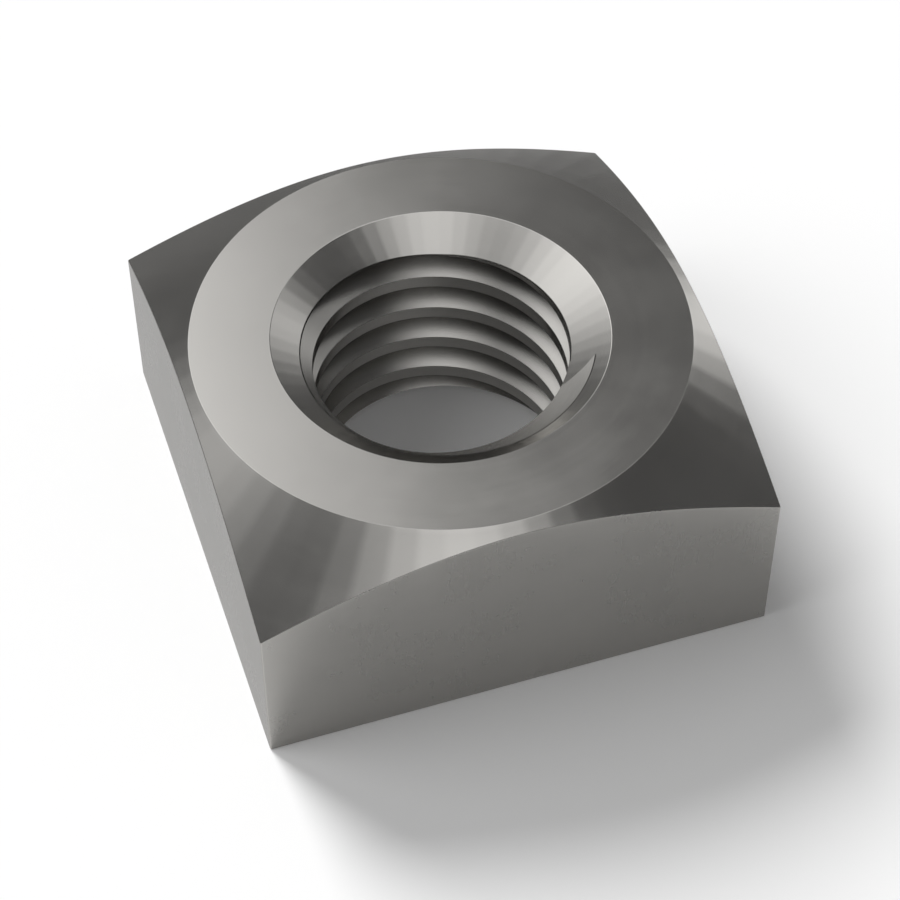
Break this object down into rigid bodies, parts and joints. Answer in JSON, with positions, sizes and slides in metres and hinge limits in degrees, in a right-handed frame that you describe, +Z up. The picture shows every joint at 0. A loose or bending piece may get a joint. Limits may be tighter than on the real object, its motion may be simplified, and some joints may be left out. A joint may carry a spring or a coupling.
{
  "type": "square nut",
  "caption": "Square steel nut of M10 size, bevelled on top, countersunk at both ends and tapped through with a coarse right-hand thread.",
  "frame": {"origin": "centre of the bottom bearing face, on the thread's axis", "axes": "+Z up the thread's axis, towards the bevelled face; +X and +Y point at two of the four wrench flats"},
  "size_m": [0.017, 0.017, 0.008],
  "materials": {
    "bright_steel": "plain turned steel, satin, with fine rings on the turned faces"
  },
  "bodies": {
    "root": {"square_nut": "bright_steel"}
  },
  "joints": []
}
